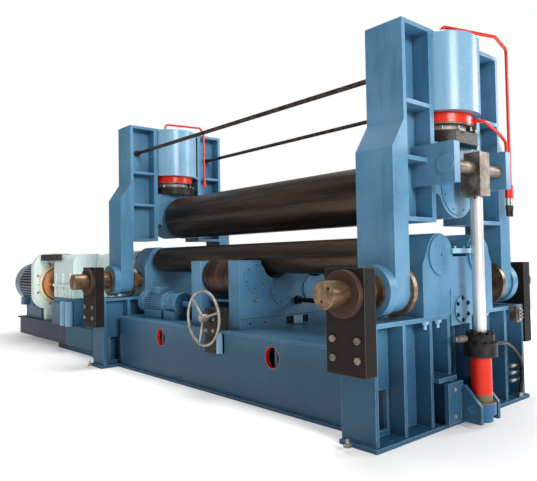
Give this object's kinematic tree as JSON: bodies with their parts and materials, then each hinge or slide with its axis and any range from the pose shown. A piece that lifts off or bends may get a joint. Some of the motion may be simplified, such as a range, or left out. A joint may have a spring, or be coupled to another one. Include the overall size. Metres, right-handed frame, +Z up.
{
  "type": "plate rolling machine",
  "caption": "Three-roll plate bending machine with two portal frames, a tilting drop end, a support roller unit below the rolls, and a motor and gearbox beside it.",
  "frame": {"origin": "underside of the bed, midway between the two guide shafts", "axes": "+X along the rolls to the drop end, +Z up, -Y the front with the handwheel"},
  "size_m": [7.953, 2.656, 2.988],
  "materials": {
    "blue_paint": "worn mid blue paint",
    "roll_steel": "oiled dark roll steel",
    "worn_steel": "banded worn steel",
    "bronze": "oiled bronze-brown",
    "dark_steel": "dark oily steel",
    "red_paint": "glossy red paint",
    "chromed_steel": "ground and chromed",
    "bright_steel": "machined steel",
    "pale_paint": "pale green-white paint",
    "orange_paint": "orange-brown paint",
    "slate_paint": "dark slate-blue paint",
    "grey_blue_paint": "grey-blue paint"
  },
  "bodies": {
    "base": {"adjusting_motor": "blue_paint", "adjusting_shaft": "bright_steel", "bed": "blue_paint", "bell_plate": "pale_paint", "brake_drum": "orange_paint", "drive_base": "slate_paint", "drive_end_stand": "blue_paint", "drive_roll_housing": "blue_paint", "drum_guard": "dark_steel", "gearbox": "pale_paint", "guide_shafts": "bronze", "housing_covers": "blue_paint", "motor": "grey_blue_paint", "motor_stand": "dark_steel", "shaft_plates": "dark_steel", "support_base": "blue_paint", "support_stands": "blue_paint", "tip_end_stand": "blue_paint", "tip_roll_housing": "blue_paint", "trunnion_bracket": "blue_paint", "wedge_bar": "dark_steel", "worm_box": "dark_steel"},
    "carriage": {"drive_frame": "blue_paint", "drive_frame_bushes": "bronze", "drive_press_cylinder": "blue_paint", "drive_press_gland": "red_paint", "stay_rods": "bright_steel", "drive_pipe": "red_paint"},
    "drive_block": {"drive_bearing_block": "blue_paint", "drive_ram": "dark_steel"},
    "top_roll": {"top_roll": "roll_steel"},
    "tip_frame": {"tip_frame": "blue_paint", "tip_frame_bushes": "bronze", "tip_press_cylinder": "blue_paint", "tip_press_gland": "red_paint", "cross_pin": "bright_steel", "tip_pipe": "red_paint"},
    "tip_block": {"tip_bearing_block": "blue_paint", "tip_ram": "dark_steel", "tip_cone_bush": "bronze"},
    "lower_roll_front": {"front_lower_roll": "roll_steel", "front_roll_coupling": "bright_steel"},
    "lower_roll_rear": {"rear_lower_roll": "roll_steel", "rear_roll_coupling": "bright_steel"},
    "support_front_outer": {"front_outer_support_roller": "worn_steel"},
    "support_front_inner": {"front_inner_support_roller": "worn_steel"},
    "support_rear_inner": {"rear_inner_support_roller": "worn_steel"},
    "support_rear_outer": {"rear_outer_support_roller": "worn_steel"},
    "tilt_barrel": {"tilt_barrel": "red_paint", "tilt_gland": "dark_steel"},
    "pin_sleeve": {"pin_sleeve": "bronze"},
    "tilt_rod": {"tilt_rod": "chromed_steel", "rod_head": "bright_steel"},
    "handwheel": {"handwheel": "bright_steel"}
  },
  "joints": [
    {"name": "carriage_slide", "type": "slide", "parent": "base", "child": "carriage", "axis": [0, 1, 0], "range_m": [-0.1, 0.1]},
    {"name": "top_roll_lift", "type": "slide", "parent": "carriage", "child": "drive_block", "axis": [0, 0, 1], "range_m": [-0.14, 0.05]},
    {"name": "top_roll_turn", "type": "hinge", "parent": "drive_block", "child": "top_roll", "pos_m": [0, 0, 1.764], "axis": [1, 0, 0], "continuous": true},
    {"name": "frame_tilt", "type": "hinge", "parent": "carriage", "child": "tip_frame", "pos_m": [1.97, 0, 1.005], "axis": [0, 1, 0], "range_deg": [0, 60]},
    {"name": "tip_block_lift", "type": "slide", "parent": "tip_frame", "child": "tip_block", "axis": [0, 0, 1], "range_m": [-0.14, 0.05]},
    {"name": "front_roll_turn", "type": "hinge", "parent": "base", "child": "lower_roll_front", "pos_m": [0, -0.265, 1.244], "axis": [1, 0, 0], "continuous": true},
    {"name": "rear_roll_turn", "type": "hinge", "parent": "base", "child": "lower_roll_rear", "pos_m": [0, 0.265, 1.244], "axis": [1, 0, 0], "continuous": true},
    {"name": "support_front_outer_turn", "type": "hinge", "parent": "base", "child": "support_front_outer", "pos_m": [-0.04, -0.53514, 1.0719], "axis": [1, 0, 0], "continuous": true},
    {"name": "support_front_inner_turn", "type": "hinge", "parent": "base", "child": "support_front_inner", "pos_m": [-0.04, -0.20938, 0.92857], "axis": [1, 0, 0], "continuous": true},
    {"name": "support_rear_inner_turn", "type": "hinge", "parent": "base", "child": "support_rear_inner", "pos_m": [-0.04, 0.20938, 0.92857], "axis": [1, 0, 0], "continuous": true},
    {"name": "support_rear_outer_turn", "type": "hinge", "parent": "base", "child": "support_rear_outer", "pos_m": [-0.04, 0.53514, 1.0719], "axis": [1, 0, 0], "continuous": true},
    {"name": "barrel_swing", "type": "hinge", "parent": "base", "child": "tilt_barrel", "pos_m": [2.275, 0, 0.137], "axis": [0, 1, 0], "range_deg": [0, 30]},
    {"name": "sleeve_slide", "type": "slide", "parent": "tip_frame", "child": "pin_sleeve", "axis": [0, 1, 0], "range_m": [-0.1, 0.1]},
    {"name": "rod_head_swing", "type": "hinge", "parent": "pin_sleeve", "child": "tilt_rod", "pos_m": [2.275, 0, 1.873], "axis": [0, 1, 0], "range_deg": [-30, 0]},
    {"name": "handwheel_turn", "type": "hinge", "parent": "base", "child": "handwheel", "pos_m": [0.09, -0.94, 0.706], "axis": [0, 1, 0], "continuous": true}
  ],
  "couplings": [
    {"joint": "tip_block_lift", "follows": "top_roll_lift", "ratio": 1},
    {"joint": "rear_roll_turn", "follows": "front_roll_turn", "ratio": 1},
    {"joint": "barrel_swing", "follows": "frame_tilt", "ratio": 0.5},
    {"joint": "rod_head_swing", "follows": "frame_tilt", "ratio": -0.5},
    {"joint": "sleeve_slide", "follows": "carriage_slide", "ratio": -1}
  ]
}
